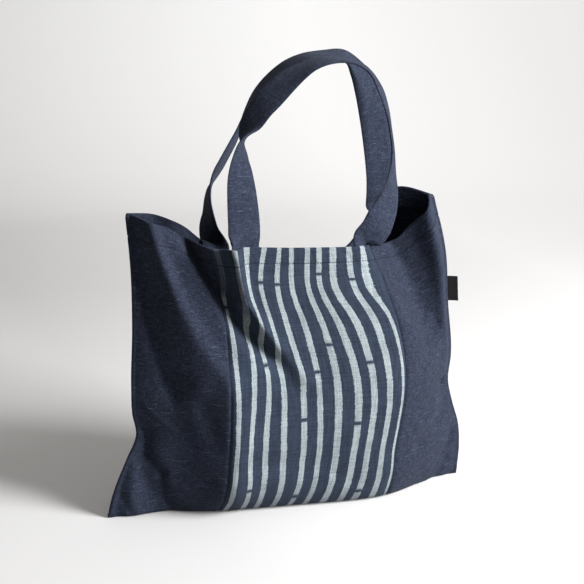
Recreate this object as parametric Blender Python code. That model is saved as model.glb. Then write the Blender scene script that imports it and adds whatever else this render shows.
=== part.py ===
"""Cloth tote bag, filled and standing open.

Four cloth panels make the bag: a striped centre panel and two side panels in front, and one
back panel. The front panels and the back panel meet at the side seams and along the bottom.
Two flat handles are sewn inside the rim, and a small tab hangs in the right side seam.
The bag stands on z = 0 with its seams in the plane y = 0, and its front faces -Y.
"""
import math

import bpy
import numpy as np

# Driving sizes of the filled bag, in metres
BAG_WIDTH = 0.380
CORNER_HEIGHT = 0.302
BAG_DEPTH = 0.100
RIM_DIP = 0.036
EAR_LIFT = 0.004

# Cut cloth sizes
FLAT_WIDTH = 0.385
CENTRE_WIDTH = 0.175
CLOTH_WALL = 0.0015
HEM_WALL = 0.0027
HEM_DROP = 0.020
SEAM_GAP = 0.0003
STRAP_SEAT_GAP = 0.0008
JOIN_GAP = 0.0005
FOLD_HEIGHT = 0.010
SEAM_EASE = 0.018
HEM_FADE = 0.0045
RIM_REACH = 0.181

# Handles
STRAP_WIDTH = 0.032
STRAP_THICKNESS = 0.0028
STRAP_TAIL = 0.022
HANDLE_RISE = 0.180
FRONT_SPREAD = 0.128
BACK_SPREAD = 0.1845
FRONT_SHIFT = 0.018
BACK_SHIFT = 0.0425
STRAP_CLEARANCE = 0.0012
STRAP_BLEND = 0.019

# Side tab
TAB_OUT = 0.0115
TAB_HEIGHT = 0.026
TAB_WALL = 0.0013
TAB_TOP = 0.216
TAB_DROOP = 0.0014

# Mesh density
PANEL_STEPS_LEFT = 11
PANEL_STEPS_CENTRE = 18
PANEL_STEPS_RIGHT = 12
PANEL_STEPS_BACK = 30
WALL_STEPS_FRONT = 26
WALL_STEPS_BACK = 20
FLOOR_STEPS = 2
STRAP_STEPS = 44
STRAP_POINTS = 6
TAIL_STEPS = 3
TAB_STEPS = 3

# How far to step, as a share of the wall, when a slope is measured
SLOPE_STEP = 0.004

# Where the wall of the bag is at each level. Level is a share of CORNER_HEIGHT, the seams are
# shares of half BAG_WIDTH, the joins are shares of half CENTRE_WIDTH, and the middle is a share
# of the way from join to join.
PLACE_COLUMNS = ("level", "left_seam", "left_join", "middle", "right_join", "right_seam")
PLACE_ROWS = (
    (1.000, -0.865, -1.10, 0.466, 0.81, 0.823),
    (0.800, -0.844, -0.93, 0.416, 0.98, 0.900),
    (0.620, -0.844, -0.91, 0.445, 1.13, 0.921),
    (0.440, -0.856, -0.92, 0.487, 1.20, 0.945),
    (0.345, -0.854, -0.93, 0.501, 1.18, 0.931),
    (0.270, -0.837, -0.94, 0.514, 1.13, 0.958),
    (0.190, -0.892, -0.95, 0.515, 1.08, 0.997),
    (0.090, -0.960, -0.96, 0.487, 1.06, 1.008),
    (0.030, -0.988, -0.95, 0.455, 1.04, 1.000),
    (0.000, -0.997, -0.95, 0.440, 1.04, 0.996),
)

# How far the wall stands out from the seams at the same levels, as shares of half BAG_DEPTH,
# at the left quarter, left join, middle, right join and right quarter. The quarters lie
# halfway between a join and its seam.
FRONT_DEPTH_ROWS = (
    (0.44, 0.92, 1.00, 0.88, 0.52),
    (0.54, 0.96, 1.00, 0.94, 0.60),
    (0.64, 1.02, 1.02, 1.00, 0.66),
    (0.70, 1.08, 1.06, 1.08, 0.72),
    (0.70, 1.10, 1.08, 1.10, 0.74),
    (0.64, 1.10, 1.08, 1.12, 0.74),
    (0.54, 1.06, 1.06, 1.12, 0.70),
    (0.36, 0.88, 1.00, 1.06, 0.58),
    (0.24, 0.60, 0.84, 0.92, 0.46),
    (0.16, 0.42, 0.66, 0.78, 0.36),
)
BACK_DEPTH_ROWS = (
    (0.42, 0.74, 0.76, 0.44, 0.80),
    (0.58, 0.88, 0.92, 0.76, 0.86),
    (0.70, 1.00, 1.04, 1.02, 0.88),
    (0.76, 1.06, 1.10, 1.08, 0.86),
    (0.76, 1.08, 1.12, 1.10, 0.84),
    (0.70, 1.06, 1.12, 1.10, 0.80),
    (0.60, 1.02, 1.10, 1.06, 0.72),
    (0.44, 0.90, 1.02, 0.96, 0.56),
    (0.30, 0.66, 0.84, 0.78, 0.42),
    (0.22, 0.50, 0.68, 0.64, 0.32),
)

# How far the rim hangs below its corners. Across is a share of the flat width from the left
# seam, and dip is a share of RIM_DIP.
RIM_COLUMNS = ("across", "dip")
FRONT_RIM = (
    (0.000, 0.00),
    (0.136, 0.34),
    (0.273, 0.86),
    (0.360, 0.84),
    (0.500, 0.95),
    (0.640, 1.04),
    (0.727, 1.10),
    (0.800, 1.04),
    (0.864, 0.88),
    (0.920, 0.44),
    (0.960, 0.12),
    (1.000, 0.00),
)
BACK_RIM = (
    (0.000, 0.00),
    (0.120, 0.16),
    (0.200, 0.38),
    (0.280, 0.70),
    (0.330, 1.05),
    (0.400, 1.36),
    (0.500, 1.52),
    (0.680, 1.57),
    (0.720, 1.48),
    (0.760, 1.13),
    (0.800, 0.75),
    (0.840, 0.34),
    (0.880, -0.04),
    (0.920, -0.16),
    (1.000, 0.00),
)

# Folds and dents. Places across and down are shares of the panel width and of the wall height,
# bow and half width are shares of BAG_WIDTH, and heights are shares of FOLD_HEIGHT.
FOLD_COLUMNS = ("start_across", "start_down", "end_across", "end_down", "bow",
                "half_width", "start_height", "end_height")
FRONT_FOLDS = (
    # diagonal fold down from the left handle: its ridge and the valley left of it
    (0.345, 0.00, 0.50, 0.60, 0.018, 0.036, 0.50, 0.30),
    (0.300, 0.00, 0.455, 0.62, 0.018, 0.032, -0.85, -0.35),
    # left panel: crest, then the valley beside the join
    (0.075, 0.00, 0.195, 0.52, 0.030, 0.042, 1.00, 0.35),
    (0.175, 0.00, 0.262, 0.36, 0.000, 0.040, -0.75, -0.25),
    # right panel: deep valley under the open corner, and the proud strip by the seam
    (0.870, -0.02, 0.865, 0.46, 0.000, 0.060, -1.25, -0.30),
    (0.955, 0.02, 0.955, 0.60, 0.000, 0.026, 0.70, 0.20),
    # lower right creases from the seam
    (0.965, 0.655, 0.815, 0.82, -0.020, 0.026, -0.60, -0.30),
    (0.965, 0.84, 0.915, 1.00, 0.000, 0.024, -0.45, -0.30),
    (0.910, 0.42, 0.80, 0.55, 0.010, 0.024, -0.35, -0.20),
    # lower left: valley that sets off the ear
    (0.005, 0.73, 0.165, 1.00, 0.010, 0.030, -0.90, -0.40),
    # soft creases above the floor
    (0.33, 0.80, 0.60, 0.88, 0.000, 0.030, -0.22, -0.15),
    (0.20, 0.62, 0.27, 0.80, 0.000, 0.028, -0.25, -0.20),
)
BACK_FOLDS = (
    (0.62, 0.00, 0.50, 0.55, 0.018, 0.040, -0.70, -0.30),
    (0.70, 0.00, 0.58, 0.55, 0.018, 0.040, 0.45, 0.25),
    (0.10, 0.05, 0.24, 0.50, 0.020, 0.040, -0.55, -0.25),
    (0.90, 0.30, 0.80, 0.66, 0.000, 0.034, -0.45, -0.30),
    (0.005, 0.73, 0.17, 0.98, 0.010, 0.030, -0.80, -0.35),
    (0.985, 0.66, 0.82, 0.84, -0.020, 0.028, -0.70, -0.30),
    (0.36, 0.55, 0.50, 0.78, 0.000, 0.034, -0.30, -0.20),
)

# Handle routes above the rim. Across is a share of half the spread from the handle's middle,
# rise is a share of HANDLE_RISE above the corner height less RIM_DIP, forward is a share of
# half BAG_DEPTH towards the front, and twist is in degrees.
ROUTE_COLUMNS = ("across", "rise", "forward", "twist")
FRONT_ROUTE = (
    (-0.954, 0.140, 0.89, 3),
    (-0.959, 0.245, 0.84, 9),
    (-0.959, 0.400, 0.73, 28),
    (-0.944, 0.477, 0.68, 42),
    (-0.897, 0.550, 0.62, 54),
    (-0.780, 0.640, 0.54, 54),
    (-0.610, 0.742, 0.49, 38),
    (-0.408, 0.808, 0.47, 19),
    (-0.197, 0.860, 0.44, -12),
    (0.014, 0.912, 0.41, -47),
    (0.210, 0.950, 0.39, -70),
    (0.498, 0.972, 0.36, -80),
    (0.751, 0.970, 0.36, -86),
    (0.953, 0.954, 0.36, -84),
    (1.154, 0.917, 0.36, -76),
    (1.359, 0.803, 0.42, -63),
    (1.453, 0.696, 0.47, -65),
    (1.495, 0.590, 0.53, -67),
    (1.524, 0.472, 0.58, -66),
    (1.496, 0.350, 0.64, -54),
    (1.454, 0.270, 0.70, -38),
    (1.342, 0.165, 0.75, -16),
    (1.227, 0.085, 0.81, -4),
)
BACK_ROUTE = (
    (-0.763, 0.040, -0.70, -36),
    (-0.780, 0.115, -0.66, -72),
    (-0.790, 0.195, -0.64, -99),
    (-0.780, 0.267, -0.60, -116),
    (-0.711, 0.360, -0.55, -125),
    (-0.634, 0.432, -0.52, -127),
    (-0.481, 0.580, -0.48, -124),
    (-0.407, 0.675, -0.47, -120),
    (-0.271, 0.790, -0.43, -112),
    (-0.054, 0.898, -0.39, -102),
    (0.101, 0.950, -0.37, -95),
    (0.254, 0.980, -0.36, -90),
    (0.521, 0.992, -0.34, -86),
    (0.714, 0.968, -0.335, -76),
    (0.813, 0.898, -0.33, -55),
    (0.927, 0.782, -0.325, -30),
    (0.996, 0.650, -0.32, -14),
    (1.048, 0.500, -0.32, -6),
    (1.096, 0.370, -0.34, -4),
    (1.145, 0.270, -0.38, -3),
    (1.190, 0.180, -0.46, -2),
)

MATERIALS = {
    "striped_twill": ((0.050, 0.075, 0.125), 0.9),
    "indigo_linen": ((0.036, 0.048, 0.085), 0.9),
    "strap_linen": ((0.040, 0.053, 0.092), 0.9),
    "tab_cloth": ((0.012, 0.012, 0.014), 0.8),
}


def spline(knots, values, at):
    """Smooth curve through the knots, read at the given places."""
    knots = np.asarray(knots, float)
    values = np.asarray(values, float)
    at = np.asarray(at, float)
    slopes = np.gradient(values, knots, axis=0)
    left = np.clip(np.searchsorted(knots, at, side="right") - 1, 0, len(knots) - 2)
    span = knots[left + 1] - knots[left]
    part = (at - knots[left]) / span
    if values.ndim > 1:
        part = part[..., None]
        span = span[..., None]
    rest = 1.0 - part
    return (values[left] * (1.0 + 2.0 * part) * rest**2 + slopes[left] * span * part * rest**2
            + values[left + 1] * (3.0 - 2.0 * part) * part**2
            - slopes[left + 1] * span * part**2 * rest)


def named_columns(rows, names):
    """Columns of a table by their names."""
    return dict(zip(names, np.array(rows, float).T))


def smooth_step(value):
    value = np.clip(value, 0.0, 1.0)
    return value * value * (3.0 - 2.0 * value)


def fold_offsets(across, down, folds):
    """Sum of the folds' heights at a place on the wall, in metres."""
    total = np.zeros(np.broadcast(across, down).shape)
    for row in folds:
        fold = dict(zip(FOLD_COLUMNS, row))
        start = np.array([fold["start_across"] * BAG_WIDTH, fold["start_down"] * CORNER_HEIGHT])
        end = np.array([fold["end_across"] * BAG_WIDTH, fold["end_down"] * CORNER_HEIGHT])
        length = np.linalg.norm(end - start)
        along_x, along_y = (end - start) / length
        from_x = across * BAG_WIDTH - start[0]
        from_y = down * CORNER_HEIGHT - start[1]
        part = (from_x * along_x + from_y * along_y) / length
        inside = np.clip(part, 0.0, 1.0)
        bow = 4.0 * fold["bow"] * BAG_WIDTH * inside * (1.0 - inside)
        side = from_x * along_y - from_y * along_x + bow
        beyond = (part - inside) * length
        reach = (side**2 + beyond**2) / (fold["half_width"] * BAG_WIDTH)**2
        height = fold["start_height"] + (fold["end_height"] - fold["start_height"]) * inside
        total += height * FOLD_HEIGHT * np.exp(-reach)
    return total


def wall_point(across, down, front):
    """Point on the outside of the wall. Across runs seam to seam, down runs rim to floor."""
    across, down = np.broadcast_arrays(np.asarray(across, float), np.asarray(down, float))
    place = named_columns(PLACE_ROWS, PLACE_COLUMNS)
    downs = 1.0 - place["level"]
    left_seam = spline(downs, place["left_seam"], down) * BAG_WIDTH / 2
    left_join = spline(downs, place["left_join"], down) * CENTRE_WIDTH / 2
    right_join = spline(downs, place["right_join"], down) * CENTRE_WIDTH / 2
    right_seam = spline(downs, place["right_seam"], down) * BAG_WIDTH / 2
    middle = left_join + (right_join - left_join) * spline(downs, place["middle"], down)
    depths = spline(downs, FRONT_DEPTH_ROWS if front else BACK_DEPTH_ROWS, down)

    stations = station_places()
    xs = np.stack([left_seam, (left_seam + left_join) / 2, left_join, middle, right_join,
                   (right_join + right_seam) / 2, right_seam], axis=-1)
    zero = np.zeros_like(left_seam)[..., None]
    ys = np.concatenate([zero, depths, zero], axis=-1) * BAG_DEPTH / 2
    x = spline_across(stations, xs, across)
    out = np.maximum(spline_across(stations, ys, across), 0.0)
    seam_fade = smooth_step(np.minimum(across, 1.0 - across) * BAG_WIDTH / SEAM_EASE)
    out = out + seam_fade * fold_offsets(across, down, FRONT_FOLDS if front else BACK_FOLDS)
    least = SEAM_GAP / 2
    out = np.maximum(out, least + (CLOTH_WALL + least) * seam_fade)
    rim = named_columns(FRONT_RIM if front else BACK_RIM, RIM_COLUMNS)
    dips = spline(rim["across"], rim["dip"], across) * RIM_DIP
    rim_fade = np.clip(1.0 - down * CORNER_HEIGHT / RIM_REACH, 0.0, None)**1.5
    z = (1.0 - down) * CORNER_HEIGHT - dips * rim_fade
    ear = np.clip(1.0 - np.minimum(across, 1.0 - across) * BAG_WIDTH / SEAM_EASE, 0.0, 1.0)
    z = np.maximum(z, EAR_LIFT * ear)
    return np.stack([x, -out if front else out, z], axis=-1)


def station_places():
    """The seven stations across a sheet, as shares of its flat width."""
    half = CENTRE_WIDTH / FLAT_WIDTH / 2
    left = 0.5 - half
    right = 0.5 + half
    return np.array([0.0, left / 2, left, 0.5, right, (1.0 + right) / 2, 1.0])


def spline_across(stations, values, across):
    """Read a smooth curve through the last axis of values at one place for each point."""
    slopes = np.gradient(values, stations, axis=-1)
    left = np.clip(np.searchsorted(stations, across, side="right") - 1, 0, len(stations) - 2)
    span = stations[left + 1] - stations[left]
    part = (across - stations[left]) / span
    rest = 1.0 - part

    def pick(table, index):
        return np.take_along_axis(table, index[..., None], axis=-1)[..., 0]

    return (pick(values, left) * (1.0 + 2.0 * part) * rest**2
            + pick(slopes, left) * span * part * rest**2
            + pick(values, left + 1) * (3.0 - 2.0 * part) * part**2
            - pick(slopes, left + 1) * span * part**2 * rest)


def wall_normal(across, down, front):
    """Outward normal of the wall by small steps across and down."""
    step = SLOPE_STEP
    side = wall_point(across + step, down, front) - wall_point(across - step, down, front)
    drop = wall_point(across, down + step, front) - wall_point(across, down - step, front)
    normal = np.cross(drop, side) if front else np.cross(side, drop)
    return normal / np.linalg.norm(normal, axis=-1, keepdims=True)


def wall_thickness(down):
    """The hem is a double fold, so the wall is thicker above its stitch line."""
    below_hem = np.asarray(down, float) * CORNER_HEIGHT - HEM_DROP
    fade = smooth_step(below_hem / HEM_FADE)
    return HEM_WALL + (CLOTH_WALL - HEM_WALL) * fade


def inside_point(across, down, front):
    """Point on the inside of the wall, kept on its own side of the seam plane."""
    off_seam = np.clip(across, SLOPE_STEP, 1.0 - SLOPE_STEP)
    point = wall_point(across, down, front)
    point = point - wall_normal(off_seam, down, front) * wall_thickness(down)[..., None]
    limit = SEAM_GAP / 2
    if front:
        point[..., 1] = np.minimum(point[..., 1], -limit)
    else:
        point[..., 1] = np.maximum(point[..., 1], limit)
    point[..., 2] = np.maximum(point[..., 2], CLOTH_WALL)
    return point


def with_floor(wall_rows, height):
    """Add the rows that run along the floor from the wall's foot to the bottom seam."""
    foot = wall_rows[-1]
    seam = foot.copy()
    seam[:, 1] = np.sign(foot[len(foot) // 2, 1]) * SEAM_GAP / 2
    seam[:, 2] = height
    rows = [wall_rows]
    for step in range(1, FLOOR_STEPS + 1):
        part = step / FLOOR_STEPS
        rows.append((foot + (seam - foot) * part)[None])
    return np.concatenate(rows)


def clear_scene():
    for thing in list(bpy.data.objects):
        bpy.data.objects.remove(thing, do_unlink=True)


def finish_material(name):
    colour, roughness = MATERIALS[name]
    material = bpy.data.materials.new(name)
    material.use_nodes = True
    surface = material.node_tree.nodes["Principled BSDF"]
    surface.inputs["Base Color"].default_value = (*colour, 1.0)
    surface.inputs["Roughness"].default_value = roughness
    surface.inputs["Metallic"].default_value = 0.0
    return material


def closed_shell(name, outer, inner, material, collection):
    """Solid between two point grids of the same size, closed along its four borders."""
    rows, columns = outer.shape[:2]
    count = rows * columns

    def index(row, column):
        return row * columns + column

    faces = []
    for row in range(rows - 1):
        for column in range(columns - 1):
            quad = [index(row, column), index(row + 1, column), index(row + 1, column + 1),
                    index(row, column + 1)]
            faces.append(quad)
            faces.append([count + corner for corner in reversed(quad)])
    border = [index(row, 0) for row in range(rows)]
    border += [index(rows - 1, column) for column in range(1, columns)]
    border += [index(row, columns - 1) for row in range(rows - 2, -1, -1)]
    border += [index(0, column) for column in range(columns - 2, 0, -1)]
    for here, there in zip(border, border[1:] + border[:1]):
        faces.append([there, here, count + here, count + there])
    return mesh_object(name, np.concatenate([outer.reshape(-1, 3), inner.reshape(-1, 3)]),
                       faces, material, collection)


def mesh_object(name, points, faces, material, collection):
    mesh = bpy.data.meshes.new(name)
    mesh.from_pydata([tuple(point) for point in points], [], faces)
    mesh.validate()
    mesh.materials.append(material)
    mesh.shade_smooth()
    mesh.set_sharp_from_angle(angle=math.radians(50))
    thing = bpy.data.objects.new(name, mesh)
    collection.objects.link(thing)
    return thing


def make_panel(name, start, end, columns, front, material, collection):
    """One sheet of the bag from start to end across, rim to bottom seam."""
    across = np.linspace(start, end, columns + 1)[None, :]
    steps = WALL_STEPS_FRONT if front else WALL_STEPS_BACK
    down = np.linspace(0.0, 1.0, steps + 1)[:, None]
    across, down = np.broadcast_arrays(across, down)
    outer = with_floor(wall_point(across, down, front), 0.0)
    inner = with_floor(inside_point(across, down, front), CLOTH_WALL)
    if not front:
        outer = outer[:, ::-1]
        inner = inner[:, ::-1]
    return closed_shell(name, outer, inner, material, collection)


def strap_across(middle_share, down, front):
    """Places across the filled sheet that a strap covers, by the strap's own width."""
    step = STRAP_WIDTH / FLAT_WIDTH / 2
    ends = wall_point(np.array([middle_share - step, middle_share + step]), down, front)
    half = step * STRAP_WIDTH / np.linalg.norm(ends[1] - ends[0])
    return np.linspace(middle_share - half, middle_share + half, STRAP_POINTS)


def wall_section(middle_share, height, front):
    """A strap's cross line on the inside of the hem, at a height above the rim."""
    down = max(-height, 0.0) / CORNER_HEIGHT
    across = strap_across(middle_share, down, front)
    normal = wall_normal(across, down, front)
    line = wall_point(across, down, front)
    rise = np.cross(normal.mean(axis=0), line[-1] - line[0])
    rise *= (1.0 if front else -1.0) * max(height, 0.0) / np.linalg.norm(rise)
    inwards = HEM_WALL + STRAP_SEAT_GAP + STRAP_THICKNESS / 2
    return line + rise - normal * inwards


def route_sections(route, spread, shift, front):
    """Cross lines of a whole strap, from one sewn tail over the top to the other."""
    left_share = 0.5 + (shift - spread / 2) / FLAT_WIDTH
    right_share = 0.5 + (shift + spread / 2) / FLAT_WIDTH
    table = named_columns(route, ROUTE_COLUMNS)
    twists = np.radians(table["twist"])
    clear = np.abs(np.sin(twists)) * STRAP_WIDTH / 2 + STRAP_CLEARANCE
    forward = np.maximum(np.abs(table["forward"]) * BAG_DEPTH / 2, clear)
    points = np.stack([table["across"] * spread / 2,
                       -forward if front else forward,
                       CORNER_HEIGHT - RIM_DIP + table["rise"] * HANDLE_RISE], axis=-1)
    left_foot = wall_section(left_share, 0.0, front).mean(axis=0)
    right_foot = wall_section(right_share, 0.0, front).mean(axis=0)
    points = np.concatenate([[left_foot], points, [right_foot]])
    twists = np.concatenate([[0.0], twists, [0.0]])
    knots = np.concatenate([[0.0], np.cumsum(np.linalg.norm(np.diff(points, axis=0), axis=1))])
    places = np.linspace(0.0, knots[-1], STRAP_STEPS + 1)
    centres = spline(knots, points, places)
    angles = spline(knots, twists, places)[:, None]
    runs = np.gradient(centres, places, axis=0)
    runs /= np.linalg.norm(runs, axis=1, keepdims=True)
    depth_way = np.array([0.0, 1.0, 0.0]) - runs * runs[:, 1:2]
    depth_way /= np.linalg.norm(depth_way, axis=1, keepdims=True)
    width_way = np.cos(angles) * np.cross(depth_way, runs) + np.sin(angles) * depth_way
    reach = np.linspace(-0.5, 0.5, STRAP_POINTS) * STRAP_WIDTH
    ribbon = centres[:, None, :] + width_way[:, None, :] * reach[None, :, None]

    tails = np.linspace(0.0, -STRAP_TAIL, TAIL_STEPS + 1)[1:]
    sections = [wall_section(left_share, height, front) for height in tails[::-1]]
    for place, section in zip(places, ribbon):
        from_right = places[-1] - place
        if place < from_right:
            held = wall_section(left_share, place, front)
        else:
            held = wall_section(right_share, from_right, front)[::-1]
        hold = 1.0 - smooth_step(min(place, from_right) / STRAP_BLEND)
        sections.append(section + (held - section) * hold)
    sections += [wall_section(right_share, height, front)[::-1] for height in tails]
    return np.array(sections)


def make_strap(name, route, spread, shift, front, material, collection):
    """Flat strap: its middle surface, thickened to both sides."""
    surface = route_sections(route, spread, shift, front)
    along = np.gradient(surface, axis=0)
    sideways = np.gradient(surface, axis=1)
    normal = np.cross(along, sideways)
    normal /= np.linalg.norm(normal, axis=-1, keepdims=True)
    half = STRAP_THICKNESS / 2
    return closed_shell(name, surface + normal * half, surface - normal * half, material,
                        collection)


def make_tab(material, collection):
    """Small folded tab that starts just outside the right side seam."""
    heights = np.linspace(TAB_TOP, TAB_TOP - TAB_HEIGHT, TAB_STEPS + 1)
    downs = 1.0 - heights / CORNER_HEIGHT
    starts = wall_point(np.ones(len(downs)), downs, True)[:, 0] + SEAM_GAP
    shares = np.linspace(0.0, 1.0, TAB_STEPS + 1)
    grid = np.zeros((len(heights), len(shares), 3))
    grid[..., 0] = starts[:, None] + shares * TAB_OUT
    grid[..., 2] = heights[:, None] - shares * TAB_DROOP
    outer = grid.copy()
    outer[..., 1] -= TAB_WALL / 2
    inner = grid.copy()
    inner[..., 1] += TAB_WALL / 2
    return closed_shell("side_tab", outer, inner, material, collection)


def main():
    clear_scene()
    collection = bpy.data.collections.new("tote_bag")
    bpy.context.scene.collection.children.link(collection)
    twill = finish_material("striped_twill")
    linen = finish_material("indigo_linen")
    strap_cloth = finish_material("strap_linen")
    tab_cloth = finish_material("tab_cloth")

    stations = station_places()
    left_join = stations[2]
    right_join = stations[4]
    half_gap = JOIN_GAP / FLAT_WIDTH / 2
    make_panel("left_panel", 0.0, left_join - half_gap, PANEL_STEPS_LEFT, True, linen,
               collection)
    make_panel("centre_panel", left_join + half_gap, right_join - half_gap,
               PANEL_STEPS_CENTRE, True, twill, collection)
    make_panel("right_panel", right_join + half_gap, 1.0, PANEL_STEPS_RIGHT, True, linen,
               collection)
    make_panel("back_panel", 0.0, 1.0, PANEL_STEPS_BACK, False, linen, collection)
    make_strap("front_handle", FRONT_ROUTE, FRONT_SPREAD, FRONT_SHIFT, True, strap_cloth,
               collection)
    make_strap("back_handle", BACK_ROUTE, BACK_SPREAD, BACK_SHIFT, False, strap_cloth,
               collection)
    make_tab(tab_cloth, collection)


main()
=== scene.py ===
"""Looks of the filled cloth tote bag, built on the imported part."""
import math

import bpy
import numpy as np
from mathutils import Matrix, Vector


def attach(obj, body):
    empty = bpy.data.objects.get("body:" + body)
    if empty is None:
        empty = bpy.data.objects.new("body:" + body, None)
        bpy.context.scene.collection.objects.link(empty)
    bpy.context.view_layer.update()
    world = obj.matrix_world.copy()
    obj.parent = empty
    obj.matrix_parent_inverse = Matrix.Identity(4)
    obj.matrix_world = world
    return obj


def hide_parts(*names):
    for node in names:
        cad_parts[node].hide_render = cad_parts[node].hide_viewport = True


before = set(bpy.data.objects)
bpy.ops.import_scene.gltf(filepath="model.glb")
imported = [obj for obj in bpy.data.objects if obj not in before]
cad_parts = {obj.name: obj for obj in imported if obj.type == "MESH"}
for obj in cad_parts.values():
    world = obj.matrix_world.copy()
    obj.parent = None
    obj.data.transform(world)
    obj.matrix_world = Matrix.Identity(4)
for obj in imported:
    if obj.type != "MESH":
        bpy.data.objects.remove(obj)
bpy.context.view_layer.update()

# Camera from the photograph: places in metres, lens and sensor in millimetres
CAMERA_PLACE = (-0.4968, -1.3734, 0.5497)
CAMERA_TARGET = (0.0031, 0.0, 0.2123)
CAMERA_LENS = 93.15
SENSOR_WIDTH = 36.0

# Driving sizes of the filled bag, in metres
BAG_WIDTH = 0.380
CORNER_HEIGHT = 0.302
BAG_DEPTH = 0.100
RIM_DIP = 0.036
EAR_LIFT = 0.004

# Cut cloth sizes
FLAT_WIDTH = 0.385
CENTRE_WIDTH = 0.175
CLOTH_WALL = 0.0015
HEM_WALL = 0.0027
HEM_DROP = 0.020
SEAM_GAP = 0.0003
STRAP_SEAT_GAP = 0.0008
JOIN_GAP = 0.0005
FOLD_HEIGHT = 0.010
SEAM_EASE = 0.018
HEM_FADE = 0.0045
RIM_REACH = 0.181

# Handles
STRAP_WIDTH = 0.032
STRAP_THICKNESS = 0.0028
STRAP_TAIL = 0.022
HANDLE_RISE = 0.180
FRONT_SPREAD = 0.128
BACK_SPREAD = 0.1845
FRONT_SHIFT = 0.018
BACK_SHIFT = 0.0425
STRAP_CLEARANCE = 0.0012

# Lengths over which a strap leaves the line of its sewn ends: both ends of the front strap, then
# the right and the left end of the back strap. That left end starts with a twist, in radians.
STRAP_BLEND = 0.012
RIGHT_BLEND = 0.016
BACK_FOOT_BLEND = 0.006
BACK_FOOT_TWIST = -0.80

# Rounding of the rim at the side seams, and how far down it fades away
CORNER_ROUND = 0.004
CORNER_REACH = 0.035

# Side tab
TAB_OUT = 0.0115
TAB_HEIGHT = 0.026
TAB_WALL = 0.0013
TAB_TOP = 0.216
TAB_DROOP = 0.0014

# Mesh density
STRAP_STEPS = 250
STRAP_POINTS = 23
TAIL_STEPS = 11
FLOOR_STEPS = 10
SLOPE_STEP = 0.004

# Radius of the turned edge where front and back meet in the side seams
SEAM_RADIUS = 0.0022

# Where the wall of the bag is at each level. Level is a share of CORNER_HEIGHT, the seams are
# shares of half BAG_WIDTH, the joins are shares of half CENTRE_WIDTH, and the middle is a share
# of the way from join to join.
PLACE_COLUMNS = ("level", "left_seam", "left_join", "middle", "right_join", "right_seam")
PLACE_ROWS = (
    (1.000, -0.865, -1.10, 0.466, 0.81, 0.823),
    (0.800, -0.844, -0.93, 0.416, 0.98, 0.900),
    (0.620, -0.844, -0.91, 0.445, 1.13, 0.921),
    (0.440, -0.856, -0.92, 0.487, 1.20, 0.945),
    (0.345, -0.854, -0.93, 0.501, 1.18, 0.931),
    (0.270, -0.837, -0.94, 0.514, 1.13, 0.958),
    (0.190, -0.892, -0.95, 0.515, 1.08, 0.997),
    (0.090, -0.960, -0.96, 0.487, 1.06, 1.008),
    (0.030, -0.988, -0.95, 0.455, 1.04, 1.000),
    (0.000, -0.997, -0.95, 0.440, 1.04, 0.996),
)

# How far the wall stands out from the seams at the same levels, as shares of half BAG_DEPTH,
# at the left quarter, left join, middle, right join and right quarter. The quarters lie
# halfway between a join and its seam.
FRONT_DEPTH_ROWS = (
    (0.44, 0.92, 1.00, 0.88, 0.52),
    (0.54, 0.96, 1.00, 0.94, 0.60),
    (0.64, 1.02, 1.02, 1.00, 0.66),
    (0.70, 1.08, 1.06, 1.08, 0.72),
    (0.70, 1.10, 1.08, 1.10, 0.74),
    (0.64, 1.10, 1.08, 1.12, 0.74),
    (0.54, 1.06, 1.06, 1.12, 0.70),
    (0.36, 0.88, 1.00, 1.06, 0.58),
    (0.24, 0.60, 0.84, 0.92, 0.46),
    (0.16, 0.42, 0.66, 0.78, 0.36),
)
BACK_DEPTH_ROWS = (
    (0.42, 0.74, 0.76, 0.44, 0.80),
    (0.58, 0.88, 0.92, 0.76, 0.86),
    (0.70, 1.00, 1.04, 1.02, 0.88),
    (0.76, 1.06, 1.10, 1.08, 0.86),
    (0.76, 1.08, 1.12, 1.10, 0.84),
    (0.70, 1.06, 1.12, 1.10, 0.80),
    (0.60, 1.02, 1.10, 1.06, 0.72),
    (0.44, 0.90, 1.02, 0.96, 0.56),
    (0.30, 0.66, 0.84, 0.78, 0.42),
    (0.22, 0.50, 0.68, 0.64, 0.32),
)

# How far the rim hangs below its corners. Across is a share of the flat width from the left
# seam, and dip is a share of RIM_DIP.
RIM_COLUMNS = ("across", "dip")
FRONT_RIM = (
    (0.000, 0.00), (0.136, 0.34), (0.273, 0.86), (0.360, 0.84), (0.500, 0.95), (0.640, 1.04),
    (0.727, 1.10), (0.760, 1.18), (0.800, 1.25), (0.864, 1.12), (0.920, 0.42), (0.960, -0.04),
    (1.000, 0.00),
)
BACK_RIM = (
    (0.000, 0.00), (0.120, 0.16), (0.200, 0.38), (0.280, 0.70), (0.330, 1.05), (0.400, 1.36),
    (0.500, 1.52), (0.680, 1.57), (0.720, 1.48), (0.760, 1.13), (0.800, 0.75), (0.840, 0.34),
    (0.880, -0.04), (0.920, -0.16), (1.000, 0.00),
)

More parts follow.
